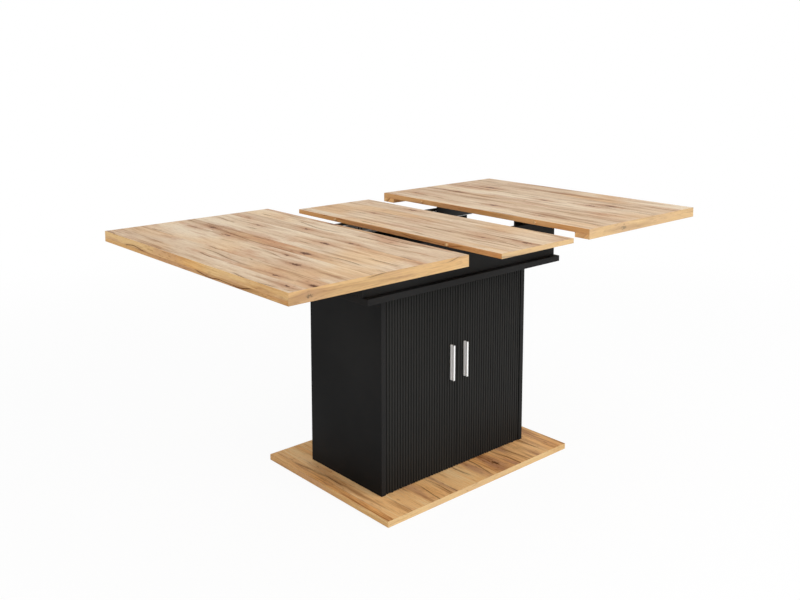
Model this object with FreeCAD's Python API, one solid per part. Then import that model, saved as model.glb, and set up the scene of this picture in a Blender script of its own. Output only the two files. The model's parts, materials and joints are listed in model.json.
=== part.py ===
import FreeCAD, Part
import math
import os
from FreeCAD import Rotation, Vector

# Extending kitchen table on a cupboard pedestal.
# Origin: middle of the pedestal on the floor. +X runs along the extension, the doors face -Y, +Z is up.
# All sizes are in millimetres.

# ---------------------------------------------------------------- driving dimensions
# Pedestal foot
glide_height = 2.0            # nail-on glides under the base plate
glide_diameter = 30.0
glide_inset = 45.0            # glide centre from the edges of the base plate
glide_nail_diameter = 2.0
glide_nail_length = 12.0
base_length = 755.0
base_width = 565.0
base_thickness = 18.0

# Cupboard
cupboard_length = 600.0
cupboard_depth = 330.0
cupboard_height = 588.0
panel_thickness = 16.0        # sides, back, shelf and aprons are cut from one board
shelf_level = 290.0           # underside of the shelf above the base plate
shelf_play = 0.5              # shelf to side panels and back
shelf_setback = 20.0          # shelf edge behind the doors
shelf_pin_diameter = 5.0
shelf_pin_length = 18.0
shelf_pin_bite = 9.0          # length of a pin inside the side panel
shelf_pin_edge = 37.0         # pin rows from the shelf's front and rear edges
shelf_hole_pitch = 32.0
shelf_hole_rows = 3

# Doors
door_thickness = 18.0
door_side_gap = 2.0
door_middle_gap = 2.0
door_end_gap = 2.0            # above and below each door
rib_count = 27
rib_share = 0.52              # share of the pitch that is rib
rib_height = 3.0
rib_ease = 0.8                # bevel on the ribs' front edges

# Door pivots
pivot_inset = 24.0            # pin centre from the door's outer edge
pivot_setback = 8.0           # pin centre behind the rib tops
pivot_pin_diameter = 5.0
pivot_pin_bite = 22.0         # length of a pin inside the door
pivot_pin_reach = 8.0         # length of a pin outside the door
pivot_play = 0.05             # radial clearance of a pin in its bush
bush_diameter = 10.0
bush_depth = 8.0
bush_flange_diameter = 15.0
bush_flange_thickness = 1.2
bore_overrun = 1.0            # cutter past each end of a bush

# Door handles
handle_length = 108.0
handle_screw_spacing = 96.0
handle_width = 6.0
handle_depth = 16.0
handle_foot_depth = 6.0
handle_lip_depth = 3.5
handle_neck_width = 2.6
handle_ease = 0.5             # bevel round the front of the grip
handle_from_middle = 28.0     # handle centre line from the middle of the front
handle_level = 335.0          # handle centre above the base plate
handle_screw_diameter = 3.0
handle_screw_head_diameter = 6.0
handle_screw_head_height = 2.0
handle_screw_bite = 5.0

# Magnetic catches
catch_length = 46.0
catch_depth = 15.0
catch_height = 13.0
catch_from_middle = 44.0
catch_corner = 2.0
catch_pole_length = 23.0
catch_pole_bite = 7.5         # length of a pole inside the housing
catch_pole_thickness = 1.5
catch_pole_gap = 4.0
catch_pole_stand = 1.0
catch_air_gap = 0.5
strike_length = 34.0
strike_height = 12.0
strike_thickness = 1.2
strike_corner = 2.0

# Carrier plate and aprons
carrier_length = 796.0
carrier_width = 450.0
carrier_thickness = 18.0
apron_spread = 405.0          # over the outer faces of the two aprons
apron_height = 114.0

# Sliding top
half_length = 550.0
top_width = 900.0
top_board_thickness = 16.0
batten_width = 52.0
batten_thickness = 14.0
leaf_length = 300.0
leaf_thickness = 14.0
top_forward = 22.0            # middle of the top in front of the middle of the pedestal
left_pull = 272.0             # how far the left half is drawn out from the middle
right_pull = 221.5
edge_ease = 0.6               # bevel on the boards' edges and edge bands
edge_band = 1.0               # thickness of the edge bands on the oak boards

# Telescopic ball slides, three members each
slide_length = 300.0
slide_height = 35.0
slide_depth = 12.7
slide_sheet = 1.2
slide_drop = 5.0              # top of the slide below the apron's top edge
slide_middle_gap = 4.0        # between the left and the right slide
slide_race = 3.3              # height of each ball race
slide_lip = 2.0
slide_web_play = 1.8          # between the webs of the outer and middle members
slide_mouth = 2.2             # outer member's lips behind the slide's face
slide_step = 1.2              # middle member's lips in front of the outer member's
slide_hole_end = 35.0         # screws from the ends of a member

# Brackets between the slides and the top halves
bracket_thickness = 2.0
bracket_flange = 26.0
bracket_end_gap = 14.0        # bracket shorter than the slide at each end
bracket_screw_inset = 35.0    # screws from the ends of a bracket
bracket_tail = 2.0            # bracket below the inner member
bracket_bend = 1.2            # bevel inside and outside the bend

# Round hardware is many-sided so that the part stays light; only the pivots are true cylinders
screw_sides = 8
pin_sides = 12
bush_sides = 16
glide_sides = 24

# Screws
board_screw_diameter = 5.0
board_screw_head_diameter = 9.6
board_screw_head_height = 3.0
board_screw_length = 50.0
board_screw_end = 45.0        # first screw from the end of a joint
pan_screw_diameter = 3.6
pan_screw_head_diameter = 7.0
pan_screw_head_height = 1.4
pan_crown = 0.7               # crown of a pan head, as a share of the head
pan_screw_length = 14.0
link_screw_length = 5.0

# ---------------------------------------------------------------- levels and faces
base_bottom = glide_height
base_top = base_bottom + base_thickness
carrier_bottom = base_top + cupboard_height
carrier_top = carrier_bottom + carrier_thickness
apron_top = carrier_top + apron_height
board_bottom = apron_top + leaf_thickness
board_top = board_bottom + top_board_thickness

side_inner = cupboard_length / 2 - panel_thickness
front_face = -cupboard_depth / 2
rear_face = cupboard_depth / 2
back_inner = rear_face - panel_thickness
door_front = front_face
door_back = front_face + door_thickness
door_bottom = base_top + door_end_gap
door_top = carrier_bottom - door_end_gap
door_width = side_inner - door_side_gap - door_middle_gap / 2
shelf_front = door_back + shelf_setback
shelf_bottom = base_top + shelf_level
apron_inner = apron_spread / 2 - panel_thickness
slide_level = apron_top - slide_drop - slide_height / 2
outer_half = slide_height / 2
middle_half = outer_half - slide_sheet - slide_race
inner_half = middle_half - slide_sheet - slide_race
top_front = -top_forward - top_width / 2
top_rear = -top_forward + top_width / 2

LEFT, RIGHT = -1, 1
FRONT, REAR = -1, 1
PULL = {LEFT: left_pull, RIGHT: right_pull}
SIDE_NAME = {LEFT: "left", RIGHT: "right"}
EDGE_NAME = {FRONT: "front", REAR: "rear"}
DOWN, UP = Vector(0, 0, -1), Vector(0, 0, 1)

parts = {}


# ---------------------------------------------------------------- helpers
def box(x0, x1, y0, y1, z0, z1):
    """A box between two corners given in any order."""
    low = Vector(min(x0, x1), min(y0, y1), min(z0, z1))
    return Part.makeBox(abs(x1 - x0), abs(y1 - y0), abs(z1 - z0), low)


def rod(start, direction, length, diameter):
    return Part.makeCylinder(diameter / 2, length, start, direction)


def bevelled(shape, size, chosen):
    """Bevels the edges that the test picks."""
    return shape.makeChamfer(size, [e for e in shape.Edges if chosen(e)])


def runs_along(edge, axis):
    """True for a straight edge parallel to an axis, given as a unit vector."""
    if edge.Curve.TypeId != "Part::GeomLine":
        return False
    return abs(abs(edge.tangentAt(edge.FirstParameter).dot(axis)) - 1) < 1e-6


def board(x0, x1, y0, y1, z0, z1):
    """A board with its upper and lower edges eased."""
    return bevelled(box(x0, x1, y0, y1, z0, z1), edge_ease, lambda e: not runs_along(e, UP))


def band_strip(x0, x1, y0, y1, z0, z1, outwards, ends):
    """One strip of edge band, eased along its outer face, and at its upright ends where they are free."""
    strip = box(x0, x1, y0, y1, z0, z1)
    face = max(v.Point.dot(outwards) for v in strip.Vertexes)

    def is_outer(edge):
        on_face = all(abs(v.Point.dot(outwards) - face) < 1e-6 for v in edge.Vertexes)
        return on_face and (ends or not runs_along(edge, UP))

    return bevelled(strip, edge_ease, is_outer)


def edge_bands(x0, x1, y0, y1, z0, z1, low_x0):
    """Four strips round a rectangular board: the long ones along X cover the ends of those along Y.

    low_x0 is the lower edge of the strip at x0, where the board may be thinner.
    """
    side = 1 if x1 > x0 else -1
    inner0, inner1 = x0 + side * edge_band, x1 - side * edge_band
    return [band_strip(x0, x1, y0, y0 + edge_band, z0, z1, Vector(0, -1, 0), True),
            band_strip(x0, x1, y1 - edge_band, y1, z0, z1, Vector(0, 1, 0), True),
            band_strip(x0, inner0, y0 + edge_band, y1 - edge_band, low_x0, z1, Vector(-side, 0, 0), False),
            band_strip(inner1, x1, y0 + edge_band, y1 - edge_band, z0, z1, Vector(side, 0, 0), False)]


def turned(sides, point, direction, *levels):
    """A many-sided solid through (radius, height) pairs from the top down, driven from point along direction."""
    turns = [2 * math.pi * i / sides for i in range(sides + 1)]
    rings = [[Vector(r * math.cos(t), r * math.sin(t), z) for t in turns] for r, z in levels]
    outlines = [rings[0], rings[-1]]
    for above, below in zip(rings, rings[1:]):
        for i in range(sides):
            outlines.append([above[i], above[i + 1], below[i + 1], below[i], above[i]])
    faces = [Part.Face(Part.makePolygon(outline)) for outline in outlines]
    solid = Part.makeSolid(Part.makeShell(faces))
    solid.Placement = FreeCAD.Placement(point, Rotation(DOWN, direction))
    return solid


def prism(sides, start, direction, length, diameter):
    return turned(sides, start, direction, (diameter / 2, 0), (diameter / 2, -length))


def screw(point, direction, length, diameter, head_diameter, head_height, sunk):
    """One screw. point is the middle of the seat's surface, direction is the way that it is driven.

    A sunk head is a cone below the surface, and any other head stands on the surface.
    """
    shank, head = diameter / 2, head_diameter / 2
    if sunk:
        levels = [(head, 0), (shank, -head_height), (shank, -length)]
    else:
        levels = [(head * pan_crown, head_height), (head, 0), (shank, 0), (shank, -length)]
    return turned(screw_sides, point, direction, *levels)


def board_screw(point, direction):
    return screw(point, direction, board_screw_length, board_screw_diameter,
                 board_screw_head_diameter, board_screw_head_height, True)


def spaced(start, end, count):
    """Evenly spaced places from start to end, both included."""
    return [start + (end - start) * i / (count - 1) for i in range(count)]


def add(name, *solids):
    """Keeps one solid, or a group of separate solids, under a part's name."""
    parts[name] = solids[0] if len(solids) == 1 else Part.makeCompound(list(solids))


def drilled(shape, tools):
    return shape.cut(Part.makeCompound(list(tools))) if tools else shape


# ---------------------------------------------------------------- foot and cupboard
def glide(x, y):
    """A round glide with a nail that holds it to the base plate."""
    return prism(glide_sides, Vector(x, y, 0), UP, glide_height, glide_diameter).fuse(nail(x, y))


def nail(x, y):
    return prism(screw_sides, Vector(x, y, glide_height), UP, glide_nail_length, glide_nail_diameter)


def glide_places():
    x, y = base_length / 2 - glide_inset, base_width / 2 - glide_inset
    return [(-x, -y), (x, -y), (-x, y), (x, y), (0, 0)]


def upright_screws(z, direction):
    """Screws driven through a horizontal board into the ends of the two side panels."""
    y_end = cupboard_depth / 2 - board_screw_end
    x_mid = cupboard_length / 2 - panel_thickness / 2
    return [board_screw(Vector(side * x_mid, y, z), direction)
            for side in (LEFT, RIGHT) for y in (-y_end, y_end)]


def apron_screws():
    """Screws driven up through the carrier plate into the lower edges of the aprons."""
    x_end = carrier_length / 2 - board_screw_end
    y_mid = apron_spread / 2 - panel_thickness / 2
    return [board_screw(Vector(x, edge * y_mid, carrier_bottom), UP)
            for edge in (FRONT, REAR) for x in (-x_end, x_end)]


def pivot_axis(side):
    """Plan position of a door's pivot."""
    return side * (side_inner - door_side_gap - pivot_inset), door_front + pivot_setback


def bush(side, level, outwards):
    """A flanged bush let into the base plate or the carrier plate."""
    x, y = pivot_axis(side)
    seat = Vector(x, y, level)
    sleeve = bush_pocket(side, level, outwards)
    flange = prism(bush_sides, seat, outwards, bush_flange_thickness, bush_flange_diameter)
    start = seat - outwards * (bush_depth + bore_overrun)
    bore_length = bush_depth + bush_flange_thickness + 2 * bore_overrun
    bore = rod(start, outwards, bore_length, pivot_pin_diameter + 2 * pivot_play)
    return sleeve.fuse(flange).cut(bore)


def bush_pocket(side, level, outwards):
    x, y = pivot_axis(side)
    return prism(bush_sides, Vector(x, y, level), -outwards, bush_depth, bush_diameter)


def shelf_pin_rows():
    """Plan positions of the shelf pin rows, on the inner faces of the side panels."""
    ys = (shelf_front + shelf_pin_edge, back_inner - shelf_play - shelf_pin_edge)
    return [(side, y) for side in (LEFT, RIGHT) for y in ys]


def shelf_pin(side, y, z):
    """A pin lying along X, its bite inside the side panel."""
    start = Vector(side * (side_inner + shelf_pin_bite), y, z)
    return prism(pin_sides, start, Vector(-side, 0, 0), shelf_pin_length, shelf_pin_diameter)


def shelf_holes(side):
    """Two rows of holes that the pins can be moved between."""
    middle = shelf_bottom - shelf_pin_diameter / 2
    span = shelf_hole_pitch * (shelf_hole_rows - 1) / 2
    levels = spaced(middle - span, middle + span, shelf_hole_rows)
    rows = [y for row_side, y in shelf_pin_rows() if row_side == side]
    start_x, outwards = side * side_inner, Vector(side, 0, 0)
    return [prism(pin_sides, Vector(start_x, y, z), outwards, shelf_pin_bite, shelf_pin_diameter)
            for y in rows for z in levels]


def build_cupboard():
    base_fixings = upright_screws(base_bottom, UP)
    carrier_fixings = upright_screws(carrier_top, DOWN)
    apron_fixings = apron_screws()
    nails = [nail(x, y) for x, y in glide_places()]

    x, y = base_length / 2, base_width / 2
    add("base_edge_bands", *edge_bands(-x, x, -y, y, base_bottom, base_top, base_bottom))
    x, y = x - edge_band, y - edge_band
    base = box(-x, x, -y, y, base_bottom, base_top)
    pockets = [bush_pocket(side, base_top, UP) for side in (LEFT, RIGHT)]
    add("base_plate", drilled(base, base_fixings + nails + pockets))
    add("floor_glides", *[glide(x, y) for x, y in glide_places()])
    add("base_screws", *base_fixings)

    for side in (LEFT, RIGHT):
        panel = box(side * side_inner, side * cupboard_length / 2, front_face, rear_face, base_top, carrier_bottom)
        panel = drilled(panel, base_fixings + carrier_fixings + shelf_holes(side))
        add(SIDE_NAME[side] + "_side_panel", panel)

    add("back_panel", box(-side_inner, side_inner, back_inner, rear_face, base_top, carrier_bottom))
    shelf_end = side_inner - shelf_play
    add("shelf", board(-shelf_end, shelf_end, shelf_front, back_inner - shelf_play,
                       shelf_bottom, shelf_bottom + panel_thickness))
    pin_level = shelf_bottom - shelf_pin_diameter / 2
    add("shelf_pins", *[shelf_pin(side, y, pin_level) for side, y in shelf_pin_rows()])

    carrier = board(-carrier_length / 2, carrier_length / 2, -carrier_width / 2, carrier_width / 2,
                    carrier_bottom, carrier_top)
    pockets = [bush_pocket(side, carrier_bottom, DOWN) for side in (LEFT, RIGHT)]
    add("carrier_plate", drilled(carrier, carrier_fixings + apron_fixings + pockets))
    add("carrier_screws", *carrier_fixings)

    for edge in (FRONT, REAR):
        apron = board(-carrier_length / 2, carrier_length / 2, edge * apron_inner, edge * apron_spread / 2,
                      carrier_top, apron_top)
        holes = apron_fixings + [s for side in (LEFT, RIGHT) for s in slide_wall_screws(side, edge)]
        add(EDGE_NAME[edge] + "_apron", drilled(apron, holes))
    add("apron_screws", *apron_fixings)
    add("pivot_bushes", *[bush(side, level, out) for side in (LEFT, RIGHT)
                          for level, out in ((base_top, UP), (carrier_bottom, DOWN))])


# ---------------------------------------------------------------- doors
def ribbed_panel(side):
    """A door blank with bevelled upright ribs over its whole front."""
    pitch = door_width / rib_count
    half_rib = pitch * rib_share / 2
    groove = door_front + rib_height
    outer = side_inner - door_side_gap
    points = [Vector(outer, door_back, 0), Vector(outer, groove, 0)]
    for i in range(rib_count):
        middle = outer - pitch * (i + 0.5)
        for hand in (1, -1):
            corner = [Vector(middle + hand * half_rib, groove, 0),
                      Vector(middle + hand * half_rib, door_front + rib_ease, 0),
                      Vector(middle + hand * (half_rib - rib_ease), door_front, 0)]
            points += corner[::hand]
    points += [Vector(outer - door_width, groove, 0), Vector(outer - door_width, door_back, 0)]
    wire = Part.makePolygon([Vector(side * p.x, p.y, door_bottom) for p in points + points[:1]])
    return Part.Face(wire).extrude(Vector(0, 0, door_top - door_bottom))


def pivot_pin(side, level, outwards):
    """A pin pressed into a door's end, from pivot_pin_bite inside it to pivot_pin_reach outside."""
    x, y = pivot_axis(side)
    start = Vector(x, y, level) - outwards * pivot_pin_bite
    return rod(start, outwards, pivot_pin_bite + pivot_pin_reach, pivot_pin_diameter)


def handle(side):
    """A slim drawn bar: a foot on the ribs, a thinner neck, and a lip in front to pull."""
    x = side * handle_from_middle
    z = base_top + handle_level
    z0, z1 = z - handle_length / 2, z + handle_length / 2
    grip = box(x - handle_width / 2, x + handle_width / 2, door_front - handle_depth, door_front, z0, z1)
    grip = bevelled(grip, handle_ease, lambda e: e.BoundBox.YMax < door_front - handle_depth / 2)
    neck_back = door_front - handle_foot_depth
    neck_front = door_front - handle_depth + handle_lip_depth
    for hand in (-1, 1):
        grip = grip.cut(box(x + hand * handle_neck_width / 2, x + hand * handle_width, neck_front, neck_back, z0, z1))
    return grip


def handle_screws(side):
    """Machine screws from the back of the door into the handle's foot."""
    x = side * handle_from_middle
    z = base_top + handle_level
    return [screw(Vector(x, door_back, z + end * handle_screw_spacing / 2), Vector(0, -1, 0),
                  door_thickness + handle_screw_bite, handle_screw_diameter,
                  handle_screw_head_diameter, handle_screw_head_height, False) for end in (-1, 1)]


def catch_level():
    return carrier_bottom - catch_height / 2


def magnetic_catch(side):
    """A plastic housing under the carrier plate, with the two steel poles of its magnet in front."""
    x = side * catch_from_middle
    face = door_back + strike_thickness + catch_air_gap + catch_pole_stand
    housing = box(x - catch_length / 2, x + catch_length / 2, face, face + catch_depth,
                  carrier_bottom - catch_height, carrier_bottom)
    housing = bevelled(housing, catch_corner, lambda e: runs_along(e, UP))
    poles = []
    for level in (-1, 1):
        z = catch_level() + level * (catch_pole_gap + catch_pole_thickness) / 2
        poles.append(box(x - catch_pole_length / 2, x + catch_pole_length / 2, face - catch_pole_stand,
                         face + catch_pole_bite, z - catch_pole_thickness / 2, z + catch_pole_thickness / 2))
    return housing.cut(Part.makeCompound(poles)), poles


def strike_plate(side):
    """The steel plate on the back of a door that its magnet holds."""
    x = side * catch_from_middle
    plate = box(x - strike_length / 2, x + strike_length / 2, door_back, door_back + strike_thickness,
                catch_level() - strike_height / 2, catch_level() + strike_height / 2)
    return bevelled(plate, strike_corner, lambda e: runs_along(e, Vector(0, 1, 0)))


def build_doors():
    housings, poles = [], []
    for side in (LEFT, RIGHT):
        name = SIDE_NAME[side]
        pins = [pivot_pin(side, door_bottom, DOWN), pivot_pin(side, door_top, UP)]
        fixings = handle_screws(side)
        add(name + "_door_panel", drilled(ribbed_panel(side), pins + fixings))
        add(name + "_pivot_pins", *pins)
        add(name + "_door_handle", drilled(handle(side), fixings))
        add(name + "_handle_screws", *fixings)
        add(name + "_strike_plate", strike_plate(side))
        housing, pole_pair = magnetic_catch(side)
        housings.append(housing)
        poles += pole_pair
    add("catch_housings", *housings)
    add("catch_poles", *poles)


# ---------------------------------------------------------------- telescopic slides
def channel(back, mouth, half_height, lip):
    """Half section of a rolled channel, as (depth, height) points of its strip.

    back and mouth are the depths of the web's outer face and of the flanges' free edge.
    """
    step = slide_sheet if mouth > back else -slide_sheet
    inner = half_height - slide_sheet
    return [(back, 0), (back, half_height), (mouth, half_height), (mouth, inner - lip),
            (mouth - step, inner - lip), (mouth - step, inner), (back + step, inner), (back + step, 0)]


def member(section, side, edge, shift):
    """A slide member with the given half section, drawn out by shift."""
    lower = [(d, -h) for d, h in reversed(section[1:-1])]
    outline = section[:-1][1:] + lower
    start = side * (slide_middle_gap / 2 + shift)
    points = [Vector(start, edge * (apron_inner - d), slide_level + h) for d, h in outline + outline[:1]]
    return Part.Face(Part.makePolygon(points)).extrude(Vector(side * slide_length, 0, 0))


def slide_sections():
    """Half sections of the outer, middle and inner members, nested with a ball race between them."""
    middle_back = slide_sheet + slide_web_play
    middle_mouth = slide_depth - slide_mouth + slide_step
    return {
        "outer": channel(0, slide_depth - slide_mouth, outer_half, slide_lip),
        "middle": channel(middle_back, middle_mouth, middle_half, slide_lip),
        "inner": channel(slide_depth, middle_back + slide_sheet + slide_web_play, inner_half, 0),
    }


def slide_hole_places(side, shift):
    start = slide_middle_gap / 2 + shift
    return [side * (start + slide_hole_end), side * (start + slide_length - slide_hole_end)]


def slide_wall_screws(side, edge):
    """Pan-head screws through the outer member's web into the apron."""
    return [screw(Vector(x, edge * (apron_inner - slide_sheet), slide_level), Vector(0, edge, 0),
                  pan_screw_length, pan_screw_diameter, pan_screw_head_diameter, pan_screw_head_height, False)
            for x in slide_hole_places(side, 0)]


def slide_link_screws(side, edge):
    """Pan-head screws through a bracket into the inner member's web."""
    y = edge * (apron_inner - slide_depth - bracket_thickness)
    return [screw(Vector(x, y, slide_level), Vector(0, edge, 0), link_screw_length,
                  pan_screw_diameter, pan_screw_head_diameter, pan_screw_head_height, False)
            for x in slide_hole_places(side, PULL[side])]


def bracket_span(side):
    start = slide_middle_gap / 2 + PULL[side] + bracket_end_gap
    return side * start, side * (start + slide_length - 2 * bracket_end_gap)


def bracket_screws(side, edge):
    """Pan-head screws up through a bracket's flange into the top half's board."""
    x0, x1 = bracket_span(side)
    y = edge * (apron_inner - slide_depth - bracket_thickness - bracket_flange / 2)
    inset = side * bracket_screw_inset
    return [screw(Vector(x, y, board_bottom - bracket_thickness), UP, pan_screw_length - bracket_thickness,
                  pan_screw_diameter, pan_screw_head_diameter, pan_screw_head_height, False)
            for x in (x0 + inset, x1 - inset)]


def bracket(side, edge):
    """An angle strip from a slide's inner member up to the underside of a top half."""
    x0, x1 = bracket_span(side)
    near = apron_inner - slide_depth
    low = slide_level - inner_half - bracket_tail
    outline = [(near, low), (near, board_bottom), (near - bracket_flange, board_bottom),
               (near - bracket_flange, board_bottom - bracket_thickness),
               (near - bracket_thickness, board_bottom - bracket_thickness), (near - bracket_thickness, low)]
    points = [Vector(x0, edge * y, z) for y, z in outline + outline[:1]]
    strip = Part.Face(Part.makePolygon(points)).extrude(Vector(x1 - x0, 0, 0))

    def at_bend(line):
        """True for the strip's outer and inner corner lines."""
        y = abs(line.Vertexes[0].Y)
        z = line.Vertexes[0].Z
        outer = abs(y - near) < 1e-6 and abs(z - board_bottom) < 1e-6
        inner = abs(y - near + bracket_thickness) < 1e-6 and abs(z - board_bottom + bracket_thickness) < 1e-6
        return runs_along(line, Vector(1, 0, 0)) and (outer or inner)

    return bevelled(strip, bracket_bend, at_bend)


def build_slides():
    sections = slide_sections()
    wall_screws = []
    for side in (LEFT, RIGHT):
        link_screws, flange_screws = [], []
        for edge in (FRONT, REAR):
            name = SIDE_NAME[side] + "_" + EDGE_NAME[edge]
            to_wall = slide_wall_screws(side, edge)
            to_slide = slide_link_screws(side, edge)
            to_board = bracket_screws(side, edge)
            add(name + "_slide_outer", drilled(member(sections["outer"], side, edge, 0), to_wall))
            add(name + "_slide_middle", member(sections["middle"], side, edge, PULL[side] / 2))
            add(name + "_slide_inner", drilled(member(sections["inner"], side, edge, PULL[side]), to_slide))
            add(name + "_slide_bracket", drilled(bracket(side, edge), to_slide + to_board))
            wall_screws += to_wall
            link_screws += to_slide
            flange_screws += to_board
        add(SIDE_NAME[side] + "_bracket_screws", *(link_screws + flange_screws))
    add("slide_screws", *wall_screws)


# ---------------------------------------------------------------- sliding top and leaf
def build_top():
    core_front, core_rear = top_front + edge_band, top_rear - edge_band
    for side in (LEFT, RIGHT):
        name = SIDE_NAME[side]
        x_in, x_out = side * PULL[side], side * (PULL[side] + half_length)
        core_in, core_out = x_in + side * edge_band, x_out - side * edge_band
        low = board_bottom - batten_thickness
        add(name + "_edge_bands", *edge_bands(x_in, x_out, top_front, top_rear, low, board_top, board_bottom))
        fixings = bracket_screws(side, FRONT) + bracket_screws(side, REAR)
        plank = box(core_in, core_out, core_front, core_rear, board_bottom, board_top)
        add(name + "_top_board", drilled(plank, fixings))
        x_mid = x_out - side * batten_width
        front_inner, rear_inner = top_front + batten_width, top_rear - batten_width
        add(name + "_end_batten", box(x_mid, core_out, core_front, core_rear, low, board_bottom))
        add(name + "_front_batten", box(x_in, x_mid, core_front, front_inner, low, board_bottom))
        add(name + "_rear_batten", box(x_in, x_mid, rear_inner, core_rear, low, board_bottom))
    x, top = leaf_length / 2, apron_top + leaf_thickness
    add("leaf_edge_bands", *edge_bands(-x, x, top_front, top_rear, apron_top, top, apron_top))
    x = x - edge_band
    add("loose_leaf", box(-x, x, core_front, core_rear, apron_top, top))


build_cupboard()
build_doors()
build_slides()
build_top()

os.makedirs("parts", exist_ok=True)
for part_name, shape in parts.items():
    shape.exportStep(os.path.join("parts", part_name + ".step"))
print(len(parts), "parts,", sum(len(s.Solids) for s in parts.values()), "solids")
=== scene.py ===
"""Extending kitchen table: ribbed doors, handles, slides and hardware, with their finishes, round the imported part."""

import json
import math
from contextlib import contextmanager

import bpy
from bpy.props import FloatProperty, FloatVectorProperty, IntProperty, PointerProperty
from mathutils import Matrix, Vector

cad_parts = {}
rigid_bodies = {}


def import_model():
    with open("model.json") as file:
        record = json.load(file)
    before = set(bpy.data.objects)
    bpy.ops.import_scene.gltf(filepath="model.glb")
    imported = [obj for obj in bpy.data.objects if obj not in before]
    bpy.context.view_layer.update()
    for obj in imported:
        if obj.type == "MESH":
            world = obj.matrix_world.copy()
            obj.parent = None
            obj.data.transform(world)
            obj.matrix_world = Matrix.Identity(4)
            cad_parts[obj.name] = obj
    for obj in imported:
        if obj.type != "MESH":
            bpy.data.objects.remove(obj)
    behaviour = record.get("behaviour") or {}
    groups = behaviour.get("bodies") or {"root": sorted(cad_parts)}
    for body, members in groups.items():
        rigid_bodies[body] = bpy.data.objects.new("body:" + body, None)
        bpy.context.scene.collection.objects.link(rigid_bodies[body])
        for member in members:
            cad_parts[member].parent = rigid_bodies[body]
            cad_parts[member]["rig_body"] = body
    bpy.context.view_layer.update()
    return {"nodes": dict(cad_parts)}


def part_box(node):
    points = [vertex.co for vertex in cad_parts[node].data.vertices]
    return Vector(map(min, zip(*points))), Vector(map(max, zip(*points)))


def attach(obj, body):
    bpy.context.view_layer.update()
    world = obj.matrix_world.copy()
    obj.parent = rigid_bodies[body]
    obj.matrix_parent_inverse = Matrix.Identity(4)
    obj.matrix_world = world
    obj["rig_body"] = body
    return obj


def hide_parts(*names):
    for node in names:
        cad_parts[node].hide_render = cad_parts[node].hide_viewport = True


bl_info = {
    "name": "Extending Kitchen Table",
    "version": (1, 0, 0),
    "blender": (4, 5, 0),
    "location": "View3D > Sidebar > Table",
    "description": "Builds the doors, handles, slides, hardware and finishes of an extending kitchen table",
    "category": "Add Mesh",
}

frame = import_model()
NODES = frame["nodes"]

# The table's sides and edges, and which way each lies along X or Y.
SIDES = {"left": -1, "right": 1}
EDGES = {"front": -1, "rear": 1}

X, Y, Z = range(3)
WHITE = (1, 1, 1, 1)
SAME = 1e-5  # two places nearer than this are one
MOSTLY, PARALLEL, FLAT = 0.9, 0.99, 0.9999  # how much of a direction lies along an axis
ROUND_SIDES = 40  # of the wider turned pieces


def tint(red, green, blue):
    """A screen colour, 0 to 255, as the linear colour that a shader takes."""
    levels = [level / 255 for level in (red, green, blue)]
    return tuple(v / 12.92 if v <= 0.04045 else ((v + 0.055) / 1.055) ** 2.4 for v in levels)


def toned(shade, share, lift=0.0):
    """A colour made lighter or darker."""
    return [min(v * share + lift, 1.0) for v in shade]


def colour(name, description, default):
    return FloatVectorProperty(name=name, description=description, default=default,
                               subtype="COLOR", size=3, min=0, max=1)


def number(name, description, default, **kind):
    return FloatProperty(name=name, description=description, default=default, **kind)


def length(name, description, default):
    return number(name, description, default, min=0, unit="LENGTH", precision=5)


# ------ settings
class TableOakSettings(bpy.types.PropertyGroup):
    """Colours and scale of the oak laminate and of its edge bands."""

    # Painted sheen: the top's colours are paler than the base's and stand in for the sheen and strong light on the top,
    # though top and base are one laminate.
    pale: colour("Pale", "Lightest wood of the top", tint(236, 216, 188))
    middle: colour("Middle", "Most of the wood of the top", tint(220, 193, 162))
    dark: colour("Dark", "Dark streaks of the top", tint(156, 110, 70))
    base_pale: colour("Base pale", "Lightest wood of the base plate", tint(252, 216, 162))
    base_middle: colour("Base middle", "Most of the wood of the base plate", tint(245, 195, 134))
    base_dark: colour("Base dark", "Dark streaks of the base plate", tint(150, 94, 50))
    edge_pale: colour("Edge pale", "Lightest wood of the edge bands", tint(234, 196, 140))
    edge_middle: colour("Edge middle", "Most of the wood of the edge bands", tint(216, 171, 114))
    edge_dark: colour("Edge dark", "Dark streaks of the edge bands", tint(146, 96, 52))
    # Painted light: the cream goes on what faces front and back, for the lamp in front, and the orange goes on the
    # other faces of the leaf's and the right half's bands, for warm light bounced between the boards in the gaps.
    edge_front_light_colour: colour("Edge cream", "Mixed into the bands along X", tint(205, 189, 155))
    edge_bounce_light_colour: colour("Edge orange", "Mixed into bands along Y of the leaf and the right half", tint(214, 138, 78))
    rose: colour("Rose", "Red-brown patches", tint(196, 149, 116))
    gold: colour("Gold", "What the golden zones are multiplied by", tint(255, 228, 186))
    crack: colour("Crack", "Open cracks in the grain", tint(90, 56, 30))
    knot: colour("Knot", "Hearts of the knots", tint(88, 50, 24))
    # Painted shade: the colour of the painted dowel holes, dark for the shade inside them.
    bore: colour("Bore", "Inside of the dowel holes", tint(40, 27, 17))
    plank_width: length("Plank width", "Mean width of the planks in the pattern", 0.083)


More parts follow.
